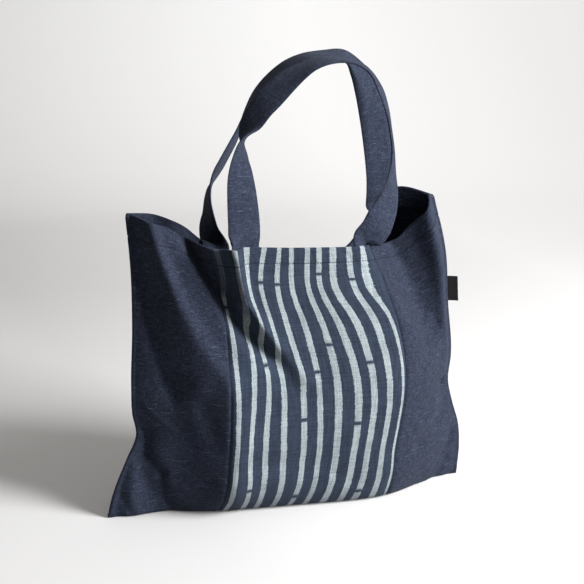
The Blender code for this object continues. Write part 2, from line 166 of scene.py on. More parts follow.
# Folds and dents. Places across and down are shares of the panel width and of the wall height,
# bow and half width are shares of BAG_WIDTH, and heights are shares of FOLD_HEIGHT.
FOLD_COLUMNS = ("start_across", "start_down", "end_across", "end_down", "bow",
                "half_width", "start_height", "end_height")
FRONT_FOLDS = (
    # shallow valley of the diagonal fold that comes down from the left handle
    (0.300, 0.20, 0.430, 0.56, 0.010, 0.026, -0.30, -0.25),
    # left panel: crest, then the valley beside the join
    (0.075, 0.00, 0.195, 0.52, 0.030, 0.042, 1.00, 0.35),
    (0.175, 0.00, 0.262, 0.36, 0.000, 0.040, -0.75, -0.25),
    # right panel: deep valley under the open corner, and the proud strip by the seam
    (0.870, -0.02, 0.865, 0.46, 0.000, 0.060, -1.25, -0.30),
    (0.955, 0.02, 0.955, 0.60, 0.000, 0.026, 0.70, 0.20),
    # lower right creases from the seam
    (0.965, 0.655, 0.815, 0.82, -0.020, 0.026, -0.60, -0.30),
    (0.965, 0.84, 0.915, 1.00, 0.000, 0.024, -0.45, -0.30),
    (0.910, 0.42, 0.80, 0.55, 0.010, 0.024, -0.35, -0.20),
    # lower left: valley that sets off the ear
    (0.005, 0.73, 0.165, 1.00, 0.010, 0.030, -0.90, -0.40),
    # soft creases above the floor
    (0.33, 0.80, 0.60, 0.88, 0.000, 0.030, -0.22, -0.15),
    (0.20, 0.62, 0.27, 0.80, 0.000, 0.028, -0.25, -0.20),
)
BACK_FOLDS = (
    (0.62, 0.00, 0.50, 0.55, 0.018, 0.040, -0.70, -0.30),
    (0.70, 0.00, 0.58, 0.55, 0.018, 0.040, 0.45, 0.25),
    (0.10, 0.05, 0.24, 0.50, 0.020, 0.040, -0.55, -0.25),
    (0.90, 0.30, 0.80, 0.66, 0.000, 0.034, -0.45, -0.30),
    (0.005, 0.73, 0.17, 0.98, 0.010, 0.030, -0.80, -0.35),
    (0.985, 0.66, 0.82, 0.84, -0.020, 0.028, -0.70, -0.30),
    (0.36, 0.55, 0.50, 0.78, 0.000, 0.034, -0.30, -0.20),
)

# Handle routes above the rim. Across is a share of half the spread from the handle's middle,
# rise is a share of HANDLE_RISE above the corner height less RIM_DIP, forward is a share of
# half BAG_DEPTH towards the front, and twist is in degrees.
ROUTE_COLUMNS = ("across", "rise", "forward", "twist")
FRONT_ROUTE = (
    (-0.954, 0.140, 0.89, 3),
    (-0.959, 0.245, 0.84, 9),
    (-0.959, 0.400, 0.73, 26),
    (-0.944, 0.477, 0.68, 42),
    (-0.895, 0.560, 0.62, 64),
    (-0.776, 0.633, 0.54, 103),
    (-0.592, 0.724, 0.49, 115),
    (-0.400, 0.796, 0.47, 121),
    (-0.197, 0.860, 0.44, 117),
    (0.014, 0.911, 0.41, 108),
    (0.210, 0.945, 0.39, 100),
    (0.498, 0.972, 0.36, 97),
    (0.751, 0.970, 0.36, 94),
    (0.953, 0.954, 0.36, 97),
    (1.154, 0.917, 0.36, 105),
    (1.359, 0.803, 0.42, 117),
    (1.453, 0.696, 0.47, 116),
    (1.495, 0.590, 0.53, 114),
    (1.524, 0.472, 0.58, 116),
    (1.496, 0.350, 0.64, 127),
    (1.454, 0.270, 0.70, 142),
    (1.342, 0.165, 0.75, 164),
    (1.208, 0.085, 0.81, 176),
)
BACK_ROUTE = (
    (-0.763, 0.040, -0.70, -66),
    (-0.780, 0.115, -0.66, -84),
    (-0.790, 0.195, -0.64, -95),
    (-0.780, 0.267, -0.60, -104),
    (-0.711, 0.360, -0.55, -119),
    (-0.634, 0.432, -0.52, -120),
    (-0.481, 0.580, -0.48, -116),
    (-0.407, 0.675, -0.47, -107),
    (-0.271, 0.790, -0.43, -95),
    (-0.054, 0.896, -0.39, -87),
    (0.101, 0.948, -0.37, -86),
    (0.254, 0.980, -0.36, -88),
    (0.521, 0.988, -0.34, -80),
    (0.722, 0.966, -0.335, -62),
    (0.838, 0.898, -0.33, -42),
    (0.957, 0.782, -0.325, -20),
    (1.031, 0.650, -0.32, -8),
    (1.084, 0.500, -0.32, -4),
    (1.122, 0.370, -0.34, -3),
    (1.146, 0.270, -0.38, -2),
    (1.160, 0.180, -0.46, -1),
)

# Finer folds that only the looks carry, in the same columns
FRONT_FINE = (
    # broad dark valley left of the diagonal fold
    (0.226, 0.00, 0.425, 0.48, 0.034, 0.033, -2.90, -0.70),
    # ridge of the diagonal fold: down from the strap, then across the stripes
    (0.338, 0.00, 0.324, 0.18, 0.000, 0.022, 1.30, 1.15),
    (0.328, 0.23, 0.470, 0.54, 0.000, 0.022, 1.15, 0.32),
    # crest of the left panel, and the slope that falls away to the seam
    (0.060, 0.03, 0.265, 0.52, 0.026, 0.034, 0.80, 0.60),
    (0.020, 0.20, 0.120, 0.58, 0.018, 0.024, -0.50, -0.45),
    # lower left: a hollow, the swell beside it, and the ear
    (0.110, 0.55, 0.150, 0.80, 0.000, 0.050, -0.60, -0.30),
    (0.285, 0.60, 0.290, 0.92, 0.000, 0.050, 0.85, 0.85),
    (0.030, 0.84, 0.060, 1.00, 0.000, 0.030, 0.50, 0.50),
    # right corner: deep wedge, and the edge strip that stands out beside it
    (0.768, 0.00, 0.850, 0.42, 0.012, 0.044, -2.10, -0.50),
    (0.830, 0.00, 0.870, 0.36, 0.000, 0.036, -1.50, -0.60),
    (0.930, 0.00, 0.945, 0.45, 0.000, 0.027, 1.80, 0.35),
    # creases that leave the right seam
    (0.985, 0.650, 0.860, 0.670, 0.006, 0.009, -0.34, -0.12),
    (0.985, 0.660, 0.800, 0.760, -0.012, 0.012, 0.30, 0.12),
    (0.975, 0.845, 0.900, 0.950, 0.006, 0.010, -0.32, -0.16),
    # creases of the lower left corner
    (0.010, 0.735, 0.110, 0.850, 0.004, 0.011, -0.34, -0.20),
    (0.110, 0.850, 0.165, 0.990, 0.004, 0.011, -0.26, -0.16),
    (0.012, 0.914, 0.062, 0.995, 0.000, 0.008, -0.16, -0.12),
    (0.030, 0.620, 0.110, 0.700, 0.000, 0.010, 0.10, 0.06),
    # small pulls under the strap and above the floor
    (0.640, 0.030, 0.690, 0.140, 0.000, 0.010, -0.10, -0.04),
    (0.560, 0.880, 0.680, 0.930, 0.004, 0.010, -0.08, -0.05),
    (0.380, 0.900, 0.500, 0.880, 0.004, 0.012, -0.07, -0.05),
)
BACK_FINE = (
    (0.640, 0.02, 0.520, 0.52, 0.018, 0.012, -0.20, -0.10),
    (0.120, 0.06, 0.250, 0.46, 0.018, 0.012, -0.16, -0.08),
    (0.985, 0.66, 0.850, 0.78, -0.010, 0.009, -0.20, -0.10),
    (0.010, 0.735, 0.120, 0.870, 0.004, 0.010, -0.20, -0.12),
    (0.400, 0.560, 0.520, 0.760, 0.000, 0.012, -0.10, -0.06),
)


def crumple(seed, count):
    """Short faint dents all over a sheet, as rows of the fold table."""
    rng = np.random.default_rng(seed)
    rows = []
    for _ in range(count):
        across, down = rng.uniform((0.03, 0.07), (0.97, 0.97))
        turn = rng.uniform(0.0, math.pi)
        reach = rng.uniform(0.02, 0.07)
        height = rng.choice((-1.0, 1.0)) * rng.uniform(0.02, 0.055)
        rows.append((across, down, across + reach * math.cos(turn), down + reach * math.sin(turn),
                     rng.uniform(-0.01, 0.01), rng.uniform(0.010, 0.022), height, height * 0.5))
    return tuple(rows)


FRONT_SHAPE = FRONT_FOLDS + FRONT_FINE + crumple(seed=11, count=60)
BACK_SHAPE = BACK_FOLDS + BACK_FINE + crumple(seed=23, count=50)

# Light stripes of the centre panel. Places and half widths are shares of its width. Each row of
# runs says where the places lie at one of the downs, which are shares of the wall height. The
# first and last places are the joins.
STRIPE_PLACES = (0.0, 0.035, 0.13, 0.22, 0.315, 0.42, 0.51, 0.61, 0.70, 0.78, 0.87, 0.96, 1.0)
STRIPE_HALVES = (0.013, 0.016, 0.016, 0.016, 0.017, 0.016, 0.017, 0.017, 0.017, 0.017, 0.011)
STRIPE_DOWNS = (0.00, 0.18, 0.32, 0.52, 0.72, 1.00)
STRIPE_RUNS = (
    (0.0, 0.045, 0.137, 0.236, 0.352, 0.442, 0.514, 0.610, 0.668, 0.746, 0.838, 0.920, 1.0),
    (0.0, 0.026, 0.106, 0.180, 0.270, 0.390, 0.488, 0.582, 0.643, 0.712, 0.813, 0.880, 1.0),
    (0.0, 0.029, 0.150, 0.215, 0.297, 0.393, 0.504, 0.600, 0.674, 0.758, 0.852, 0.946, 1.0),
    (0.0, 0.040, 0.148, 0.231, 0.314, 0.418, 0.508, 0.605, 0.704, 0.784, 0.874, 0.972, 1.0),
    (0.0, 0.044, 0.124, 0.210, 0.308, 0.418, 0.510, 0.608, 0.720, 0.800, 0.894, 0.980, 1.0),
    (0.0, 0.026, 0.143, 0.231, 0.351, 0.457, 0.549, 0.643, 0.731, 0.800, 0.900, 0.984, 1.0),
)
# Short gaps in the stripes, as stripe number and share of the wall height
# The gaps are partly uneven print and partly painted shade of small creases across the stripes.
STRIPE_GAPS = ((1, 0.26), (3, 0.48), (4, 0.15), (5, 0.16), (5, 0.68), (5, 0.95), (6, 0.52),
               (7, 0.42), (8, 0.12), (8, 0.71), (9, 0.50), (9, 0.95), (10, 0.15), (2, 0.90))
GAP_LENGTH = 0.0017
GAP_WIDTH = 0.006
GAP_DEPTH = 1.6
# Painted shade: stripes 1 and 2 are dimmed below the rim, where the shadow of the dark wedge
# falls.
# Stretches of painted shade on the stripes: stripe number, start and end down the wall, and
# share. Their ends fade.
PAINTED_STRIPE_SHADE = ((1, -0.06, 0.24, 0.86), (2, 0.00, 0.32, 0.62))
FADE_RUN = 0.06


def add_object(name, data):
    """Put new data into the scene as an object."""
    thing = bpy.data.objects.new(name, data)
    bpy.context.scene.collection.objects.link(thing)
    return thing


def curve_between(start, end, start_slope, end_slope, part, span):
    """Cubic curve from start to end, read at a part of the span between them."""
    rest = 1.0 - part
    return (start * (1.0 + 2.0 * part) * rest**2 + start_slope * span * part * rest**2
            + end * (3.0 - 2.0 * part) * part**2 - end_slope * span * part**2 * rest)


def run_along(points):
    """Distance of each point from the first, along the line that they make."""
    steps = np.linalg.norm(np.diff(points, axis=0), axis=-1)
    return np.concatenate([[0.0], np.cumsum(steps)])


def spline(knots, values, at):
    """Smooth curve through the knots, read at the given places."""
    knots = np.asarray(knots, float)
    values = np.asarray(values, float)
    at = np.asarray(at, float)
    slopes = np.gradient(values, knots, axis=0)
    left = np.clip(np.searchsorted(knots, at, side="right") - 1, 0, len(knots) - 2)
    span = knots[left + 1] - knots[left]
    part = (at - knots[left]) / span
    if values.ndim > 1:
        part = part[..., None]
        span = span[..., None]
    return curve_between(values[left], values[left + 1], slopes[left], slopes[left + 1],
                         part, span)


def named_columns(rows, names):
    """Columns of a table by their names."""
    return dict(zip(names, np.array(rows, float).T))


def smooth_step(value):
    value = np.clip(value, 0.0, 1.0)
    return value * value * (3.0 - 2.0 * value)


def fold_offsets(across, down, folds):
    """Sum of the folds' heights at a place on the wall, in metres."""
    size = np.array([BAG_WIDTH, CORNER_HEIGHT])
    total = np.zeros(np.broadcast(across, down).shape)
    for row in folds:
        fold = dict(zip(FOLD_COLUMNS, row))
        start = size * (fold["start_across"], fold["start_down"])
        end = size * (fold["end_across"], fold["end_down"])
        length = np.linalg.norm(end - start)
        along_x, along_y = (end - start) / length
        from_x = across * BAG_WIDTH - start[0]
        from_y = down * CORNER_HEIGHT - start[1]
        part = (from_x * along_x + from_y * along_y) / length
        inside = np.clip(part, 0.0, 1.0)
        bow = 4.0 * fold["bow"] * BAG_WIDTH * inside * (1.0 - inside)
        side = from_x * along_y - from_y * along_x + bow
        beyond = (part - inside) * length
        reach = (side**2 + beyond**2) / (fold["half_width"] * BAG_WIDTH)**2
        height = fold["start_height"] + (fold["end_height"] - fold["start_height"]) * inside
        total += height * FOLD_HEIGHT * np.exp(-reach)
    return total


def wall_point(across, down, front):
    """Point on the outside of the wall. Across runs seam to seam, down runs rim to floor."""
    across, down = np.broadcast_arrays(np.asarray(across, float), np.asarray(down, float))
    place = named_columns(PLACE_ROWS, PLACE_COLUMNS)
    downs = 1.0 - place["level"]
    left_seam, left_join, right_join, right_seam = (
        spline(downs, place[key], down) * width / 2
        for key, width in (("left_seam", BAG_WIDTH), ("left_join", CENTRE_WIDTH),
                           ("right_join", CENTRE_WIDTH), ("right_seam", BAG_WIDTH)))
    middle = left_join + (right_join - left_join) * spline(downs, place["middle"], down)
    depths = spline(downs, FRONT_DEPTH_ROWS if front else BACK_DEPTH_ROWS, down)

    stations = station_places()
    xs = np.stack([left_seam, (left_seam + left_join) / 2, left_join, middle, right_join,
                   (right_join + right_seam) / 2, right_seam], axis=-1)
    zero = np.zeros_like(left_seam)[..., None]
    ys = np.concatenate([zero, depths, zero], axis=-1) * BAG_DEPTH / 2
    x = spline_across(stations, xs, across)
    out = np.maximum(spline_across(stations, ys, across), 0.0)
    from_seam = np.minimum(across, 1.0 - across) * BAG_WIDTH
    below_rim = down * CORNER_HEIGHT
    seam_fade = smooth_step(from_seam / SEAM_EASE)
    out = out + seam_fade * fold_offsets(across, down, FRONT_SHAPE if front else BACK_SHAPE)
    turned = np.sqrt(1.0 - np.clip(1.0 - from_seam / SEAM_RADIUS, 0.0, 1.0)**2)
    out = np.maximum(out, SEAM_GAP / 2 + SEAM_RADIUS * turned)
    rim = named_columns(FRONT_RIM if front else BACK_RIM, RIM_COLUMNS)
    dips = spline(rim["across"], rim["dip"], across) * RIM_DIP
    rim_fade = np.clip(1.0 - below_rim / RIM_REACH, 0.0, None)**1.5
    z = (1.0 - down) * CORNER_HEIGHT - dips * rim_fade
    ear = np.clip(1.0 - from_seam / SEAM_EASE, 0.0, 1.0)
    z = np.maximum(z, EAR_LIFT * ear)
    corner = np.clip(1.0 - from_seam / CORNER_ROUND, 0.0, 1.0)
    top_fade = np.clip(1.0 - below_rim / CORNER_REACH, 0.0, None)**1.5
    z = z - CORNER_ROUND * (1.0 - np.sqrt(1.0 - corner**2)) * top_fade
    return np.stack([x, -out if front else out, z], axis=-1)


def station_places():
    """The seven stations across a sheet, as shares of its flat width."""
    half = CENTRE_WIDTH / FLAT_WIDTH / 2
    left = 0.5 - half
    right = 0.5 + half
    return np.array([0.0, left / 2, left, 0.5, right, (1.0 + right) / 2, 1.0])


def spline_across(stations, values, across):
    """Read a smooth curve through the last axis of values at one place for each point."""
    slopes = np.gradient(values, stations, axis=-1)
    left = np.clip(np.searchsorted(stations, across, side="right") - 1, 0, len(stations) - 2)
    span = stations[left + 1] - stations[left]
    part = (across - stations[left]) / span

    def pick(table, index):
        return np.take_along_axis(table, index[..., None], axis=-1)[..., 0]

    return curve_between(pick(values, left), pick(values, left + 1), pick(slopes, left),
                         pick(slopes, left + 1), part, span)


def wall_normal(across, down, front):
    """Outward normal of the wall by small steps across and down."""
    step = SLOPE_STEP
    side = wall_point(across + step, down, front) - wall_point(across - step, down, front)
    drop = wall_point(across, down + step, front) - wall_point(across, down - step, front)
    normal = np.cross(drop, side) if front else np.cross(side, drop)
    return normal / np.linalg.norm(normal, axis=-1, keepdims=True)


def wall_thickness(down):
    """The hem is a double fold, so the wall is thicker above its stitch line."""
    below_hem = np.asarray(down, float) * CORNER_HEIGHT - HEM_DROP
    fade = smooth_step(below_hem / HEM_FADE)
    return HEM_WALL + (CLOTH_WALL - HEM_WALL) * fade


def with_floor(wall_rows, height):
    """Add the rows that run along the floor from the wall's foot to the bottom seam."""
    foot = wall_rows[-1]
    seam = foot.copy()
    seam[:, 1] = np.sign(foot[len(foot) // 2, 1]) * SEAM_GAP / 2
    seam[:, 2] = height
    parts = np.arange(1, FLOOR_STEPS + 1)[:, None, None] / FLOOR_STEPS
    return np.concatenate([wall_rows, foot + (seam - foot) * parts])


def strap_across(middle_share, down, front):
    """Places across the filled sheet that a strap covers, by the strap's own width."""
    step = STRAP_WIDTH / FLAT_WIDTH / 2
    ends = wall_point(np.array([middle_share - step, middle_share + step]), down, front)
    half = step * STRAP_WIDTH / np.linalg.norm(ends[1] - ends[0])
    return np.linspace(middle_share - half, middle_share + half, STRAP_POINTS)


def wall_section(middle_share, height, front):
    """A strap's cross line on the inside of the hem, at a height above the rim."""
    down = max(-height, 0.0) / CORNER_HEIGHT
    across = strap_across(middle_share, down, front)
    normal = wall_normal(across, down, front)
    line = wall_point(across, down, front)
    rise = np.cross(normal.mean(axis=0), line[-1] - line[0])
    rise *= (1.0 if front else -1.0) * max(height, 0.0) / np.linalg.norm(rise)
    inwards = HEM_WALL + STRAP_SEAT_GAP + STRAP_THICKNESS / 2
    return line + rise - normal * inwards


def route_sections(route, spread, shift, front):
    """Cross lines of a whole strap, from one sewn tail over the top to the other."""
    left_share = 0.5 + (shift - spread / 2) / FLAT_WIDTH
    right_share = 0.5 + (shift + spread / 2) / FLAT_WIDTH
    table = named_columns(route, ROUTE_COLUMNS)
    twists = np.radians(table["twist"])
    clear = np.abs(np.sin(twists)) * STRAP_WIDTH / 2 + STRAP_CLEARANCE
    forward = np.maximum(np.abs(table["forward"]) * BAG_DEPTH / 2, clear)
    points = np.stack([table["across"] * spread / 2,
                       -forward if front else forward,
                       CORNER_HEIGHT - RIM_DIP + table["rise"] * HANDLE_RISE], axis=-1)
    feet = [wall_section(share, 0.0, front).mean(axis=0) for share in (left_share, right_share)]
    points = np.concatenate([feet[:1], points, feet[1:]])
    twists = np.concatenate([[0.0 if front else BACK_FOOT_TWIST], twists,
                             [np.pi if front else 0.0]])
    knots = run_along(points)
    places = np.linspace(0.0, knots[-1], STRAP_STEPS + 1)
    centres = spline(knots, points, places)
    angles = spline(knots, twists, places)[:, None]
    runs = np.gradient(centres, places, axis=0)
    runs /= np.linalg.norm(runs, axis=1, keepdims=True)
    depth_way = np.array([0.0, 1.0, 0.0]) - runs * runs[:, 1:2]
    depth_way /= np.linalg.norm(depth_way, axis=1, keepdims=True)
    width_way = np.cos(angles) * np.cross(depth_way, runs) + np.sin(angles) * depth_way
    reach = np.linspace(-0.5, 0.5, STRAP_POINTS) * STRAP_WIDTH
    ribbon = centres[:, None, :] + width_way[:, None, :] * reach[None, :, None]

    way = 1 if front else -1
    tails = np.linspace(0.0, -STRAP_TAIL, TAIL_STEPS + 1)[1:]
    sections = [wall_section(left_share, height, front) for height in tails[::-1]]
    for place, section in zip(places, ribbon):
        from_right = places[-1] - place
        blend = STRAP_BLEND if front else (RIGHT_BLEND if place > from_right else BACK_FOOT_BLEND)
        hold = 1.0 - smooth_step(min(place, from_right) / blend)
        if hold == 0.0:
            sections.append(section)
            continue
        if place < from_right:
            held = wall_section(left_share, place, front)
        else:
            held = wall_section(right_share, from_right, front)[::way]
        sections.append(section + (held - section) * hold)
    sections += [wall_section(right_share, height, front)[::way] for height in tails]
    return np.array(sections)


class Graph:
    """Small helper that writes shader nodes and joins them."""

    def __init__(self, name):
        self.material = bpy.data.materials.new(name)
        self.material.use_nodes = True
        self.tree = self.material.node_tree
        self.surface = self.tree.nodes["Principled BSDF"]

    def put(self, target, value):
        if isinstance(value, bpy.types.NodeSocket):
            self.tree.links.new(value, target)
        else:
            target.default_value = value

    def node(self, kind, *values, **settings):
        made = self.tree.nodes.new(kind)
        for key, value in settings.items():
            setattr(made, key, value)
        for socket, value in zip(made.inputs, values):
            self.put(socket, value)
        return made

    def math(self, operation, *values, clamp=False):
        made = self.node("ShaderNodeMath", *values, operation=operation, use_clamp=clamp)
        return made.outputs[0]

    def times(self, first, second):
        return self.math("MULTIPLY", first, second)

    def blend(self, value, amount, base):
        return self.math("MULTIPLY_ADD", value, amount, base)

    def uv(self, layer):
        place = self.node("ShaderNodeUVMap", uv_map=layer).outputs[0]
        return self.node("ShaderNodeSeparateXYZ", place).outputs[:2]

    def noise(self, x, y, step_x, step_y, detail, shift):
        """Noise whose grain is step_x by step_y metres."""
        place = self.node("ShaderNodeCombineXYZ", self.math("DIVIDE", x, step_x),
                          self.math("DIVIDE", y, step_y), shift)
        made = self.node("ShaderNodeTexNoise", noise_dimensions="3D")
        self.fill(made, {"Vector": place.outputs[0], "Scale": 1.0, "Detail": detail,
                         "Roughness": 0.55})
        return made.outputs["Fac"]

    def spread(self, value, low, high, new_low=0.0, new_high=1.0):
        made = self.node("ShaderNodeMapRange", value, low, high, new_low, new_high, clamp=True)
        return made.outputs[0]

    def mix(self, share, first, second):
        made = self.node("ShaderNodeMix", data_type="RGBA")
        self.fill(made, {"Factor": share, 6: first, 7: second})
        return made.outputs[2]

    def scaled(self, colour_value, amount):
        made = self.node("ShaderNodeVectorMath", operation="SCALE")
        self.fill(made, {0: colour_value, "Scale": amount})
        return made.outputs[0]

    def wave(self, place, pitch):
        """Rise and fall from 0 to 1 with the given pitch in metres."""
        turn = self.times(place, 2.0 * math.pi / pitch)
        return self.blend(self.math("SINE", turn), 0.5, 0.5)

    def fill(self, node, values):
        for key, value in values.items():
            self.put(node.inputs[key], value)

    def finish(self, base, height, depth, roughness, sheen=0.0, tint=(1.0, 1.0, 1.0, 1.0)):
        bump = self.node("ShaderNodeBump")
        self.fill(bump, {"Strength": 1.0, "Distance": depth, "Height": height})
        self.fill(self.surface, {"Normal": bump.outputs[0], "Base Color": base,
                                 "Roughness": roughness, "Specular IOR Level": 0.08,
                                 "Sheen Weight": sheen, "Sheen Roughness": 0.55,
                                 "Sheen Tint": tint})
        return self.material


# Pitch of the weaves, in metres
LINEN_PITCH = 0.00085
TWILL_PITCH = 0.0012
# Noise of the looks: grain along x and y in metres, then detail and shift
LINEN_GRAINS = {
    "warp": (0.0009, 0.009, 3.0, 1.3),
    "weft": (0.011, 0.0009, 3.0, 4.1),
    "grain": (0.0010, 0.0010, 2.0, 6.6),
    "cloud": (0.035, 0.035, 3.0, 7.7),
    "long_fleck": (0.0050, 0.0009, 2.0, 9.2),
    "tall_fleck": (0.0009, 0.0042, 2.0, 2.9),
    "slub_line": (0.0140, 0.0010, 1.0, 5.5),
}
STRIPE_GRAINS = {
    "warp": (0.0008, 0.020, 2.0, 3.3),
    "weft": (0.016, 0.0009, 2.0, 8.8),
    "cloud": (0.028, 0.028, 3.0, 5.1),
    "wobble": (0.0018, 0.0024, 2.0, 6.2),
    "drift": (0.010, 0.014, 1.0, 2.2),
    "pinholes": (0.0016, 0.0016, 2.0, 12.0),
}
# How far the stripes' edges wander, as shares of the panel's width
STRIPE_WOBBLE = 0.010
STRIPE_DRIFT = 0.006
SHEEN_TINT = (0.62, 0.70, 0.90, 1.0)


def linen_material(name, dark, light, slub):
    """Plain weave with uneven yarns and light flecks along both yarn directions."""
    graph = Graph(name)
    u, v = graph.uv("cloth")
    noise = {name: graph.noise(u, v, *grain) for name, grain in LINEN_GRAINS.items()}
    mixed = graph.blend(noise["weft"], 0.40, graph.times(noise["warp"], 0.30))
    mixed = graph.blend(noise["grain"], 0.30, mixed)
    share = graph.spread(mixed, 0.40, 0.60)
    long_fleck = graph.spread(noise["long_fleck"], 0.54, 0.72)
    tall_fleck = graph.spread(noise["tall_fleck"], 0.55, 0.72)
    slub_line = graph.spread(noise["slub_line"], 0.68, 0.78)
    flecks = graph.math("MAXIMUM", long_fleck, graph.times(tall_fleck, 0.8))
    flecks = graph.math("MAXIMUM", flecks, graph.times(slub_line, 2.0))
    repeat = LINEN_PITCH * 2
    over = graph.times(graph.wave(u, repeat), graph.wave(v, repeat))
    under = graph.times(graph.wave(graph.math("ADD", u, LINEN_PITCH), repeat),
                        graph.wave(graph.math("ADD", v, LINEN_PITCH), repeat))
    weave = graph.math("ADD", over, under)
    base = graph.mix(share, dark, light)
    base = graph.scaled(base, graph.spread(noise["cloud"], 0.3, 0.7, 0.88, 1.12))
    base = graph.scaled(base, graph.spread(weave, 0.0, 0.8, 0.70, 1.12))
    base = graph.mix(graph.times(flecks, 0.30), base, slub)
    height = graph.blend(weave, 0.30, mixed)
    height = graph.blend(flecks, 0.3, height)
    return graph.finish(base, height, depth=0.00045, roughness=0.90, sheen=0.03, tint=SHEEN_TINT)


def stripe_material(name, ground, ground_light, light, light_shade):
    """Twill with light stripes. The stripe layer's x is a share of the panel's width."""
    graph = Graph(name)
    u, v = graph.uv("cloth")
    across = graph.uv("stripe")[0]
    rib = graph.wave(graph.math("ADD", u, v), TWILL_PITCH)
    noise = {name: graph.noise(u, v, *grain) for name, grain in STRIPE_GRAINS.items()}
    mixed = graph.blend(noise["warp"], 0.5, graph.times(noise["weft"], 0.5))
    wobble = graph.math("SUBTRACT", noise["wobble"], 0.5)
    drift = graph.math("SUBTRACT", noise["drift"], 0.5)
    place = graph.blend(wobble, STRIPE_WOBBLE, across)
    place = graph.blend(drift, STRIPE_DRIFT, place)
    ramp = graph.node("ShaderNodeValToRGB")
    graph.put(ramp.inputs[0], place)
    ramp.color_ramp.interpolation = "CONSTANT"
    stops = ramp.color_ramp.elements
    stops[0].position = 0.0
    stops[0].color = (0.0, 0.0, 0.0, 1.0)
    stops.remove(stops[1])
    for centre, half in zip(STRIPE_PLACES[1:-1], STRIPE_HALVES):
        for position, level in ((centre - half, 1.0), (centre + half, 0.0)):
            stop = stops.new(position)
            stop.color = (level, level, level, 1.0)
    # Stripes dim by the mesh layer of print gaps and painted shade.
    gap_and_shade_mask = graph.node("ShaderNodeAttribute", attribute_name="stripe_gaps_and_shade")
    whole = graph.math("SUBTRACT", 1.0, gap_and_shade_mask.outputs["Fac"], clamp=True)
    stripe = graph.times(ramp.outputs[0], whole)
    stripe = graph.times(stripe, graph.spread(noise["pinholes"], 0.28, 0.36))
    base = graph.mix(graph.spread(mixed, 0.41, 0.59), ground, ground_light)
    paint = graph.mix(graph.spread(mixed, 0.40, 0.58), light_shade, light)
    base = graph.mix(stripe, base, paint)
    base = graph.scaled(base, graph.spread(rib, 0.0, 1.0, 0.70, 1.16))
    base = graph.scaled(base, graph.spread(noise["cloud"], 0.3, 0.7, 0.92, 1.08))
    height = graph.blend(rib, 0.45, graph.times(mixed, 0.6))
    height = graph.blend(stripe, 0.25, height)
    return graph.finish(base, height, depth=0.00035, roughness=0.90, sheen=0.03, tint=SHEEN_TINT)


def plain_material(name, base, roughness, pitch=0.0008):
    """Close woven tape or thread."""
    graph = Graph(name)
    u, v = graph.uv("cloth")
    weave = graph.times(graph.wave(u, pitch), graph.wave(v, pitch * 1.6))
    shade = graph.scaled(base[:3], graph.spread(weave, 0.0, 1.0, 0.8, 1.25))
    return graph.finish(shade, weave, 0.0002, roughness)


SLUB = (0.066, 0.081, 0.122, 1)
LINEN = linen_material("linen_look", dark=(0.0046, 0.0060, 0.0108, 1),
                       light=(0.0146, 0.0190, 0.0345, 1), slub=SLUB)
STRAP_LINEN = linen_material("strap_look", dark=(0.0064, 0.0085, 0.0153, 1),
                             light=(0.0172, 0.0222, 0.0395, 1), slub=SLUB)
TWILL = stripe_material("twill_look", ground=(0.0094, 0.0137, 0.0228, 1),
                        ground_light=(0.0177, 0.0257, 0.0423, 1),
                        light=(0.204, 0.232, 0.242, 1), light_shade=(0.120, 0.142, 0.156, 1))
TAB_LOOK = plain_material("tab_look", (0.0022, 0.0022, 0.0027, 1.0), roughness=0.8)
DARK_THREAD = plain_material("dark_thread_look", (0.010, 0.011, 0.015, 1.0), roughness=0.7,
                             pitch=0.0004)

# Spacing of the rows and columns of a sheet, in metres from its borders
RIM_ROWS = (0.0, 0.00012, 0.00035, 0.0007, 0.0011, 0.0016, 0.0022, 0.003)
FOOT_ROWS = (0.0, 0.0006, 0.0012, 0.002, 0.003, 0.0042, 0.0056)
JOIN_COLUMNS = (0.0, 0.0003, 0.0007, 0.0012, 0.0018, 0.0026)
FINE_ROW = 0.0008
WALL_ROW = 0.0018
WALL_COLUMN = 0.0014
HEM_BAND = 0.030

# Small forms of the sheets, in metres: the turned foot, and the grooves at joins and hem stitches
FOOT_ROUND = 0.0055
FOOT_LEAST = 0.0008
JOIN_GROOVE = 0.0009
JOIN_REACH = 0.0016
JOIN_FADE = 0.004
HEM_GROOVE = 0.0006
HEM_STITCH = 0.0215
HEM_GROOVE_REACH = 0.0009

# Groove by a strap's edges, as shares of half its width and, for the depth, of its thickness
EDGE_PLACE = 0.84
EDGE_HALF = 0.05
EDGE_DEPTH = 0.12

# Hem stitches, in metres. The margin at each seam is a share of the flat width.
STITCH_PITCH = 0.0032
STITCH_LENGTH = 0.0022
STITCH_RADIUS = 0.00032
STITCH_LIFT = 0.0003
STITCH_AHEAD = 0.0005
STITCH_MARGIN = 0.012
STITCH_POINTS = 500
STITCH_SIDES = 6
# Rings of one stitch: place as a share of its length, then width and lift as shares of its radius
STITCH_RINGS = ((-0.5, 0.35, -0.6), (-0.38, 0.9, 0.0), (0.0, 1.0, 0.35), (0.38, 0.9, 0.0),
                (0.5, 0.35, -0.6))

# Tab: its mesh, and the soft wave across it
TAB_ROWS = 26
TAB_COLUMNS = 14
TAB_WAVE = 0.0006
TAB_WAVE_TURN = 2.6

# Tapes behind the joins, in metres. Top and foot are shares of the wall height.
TAPE_HALF = 0.0055
TAPE_WALL = 0.0008
TAPE_GAP = 0.0002
TAPE_TOP = 0.075
TAPE_FOOT = 0.97
TAPE_COLUMNS = 9
TAPE_ROWS = 150


def rows_down():
    """Levels of the rows as shares of the wall height, close together at the hem and foot."""
    hem = np.arange(RIM_ROWS[-1], HEM_BAND, FINE_ROW)
    foot = CORNER_HEIGHT - np.array(FOOT_ROWS[::-1])
    count = round((foot[0] - HEM_BAND) / WALL_ROW)
    wall = np.linspace(HEM_BAND, foot[0], count, endpoint=False)
    return np.concatenate([RIM_ROWS[:-1], hem, wall, foot]) / CORNER_HEIGHT


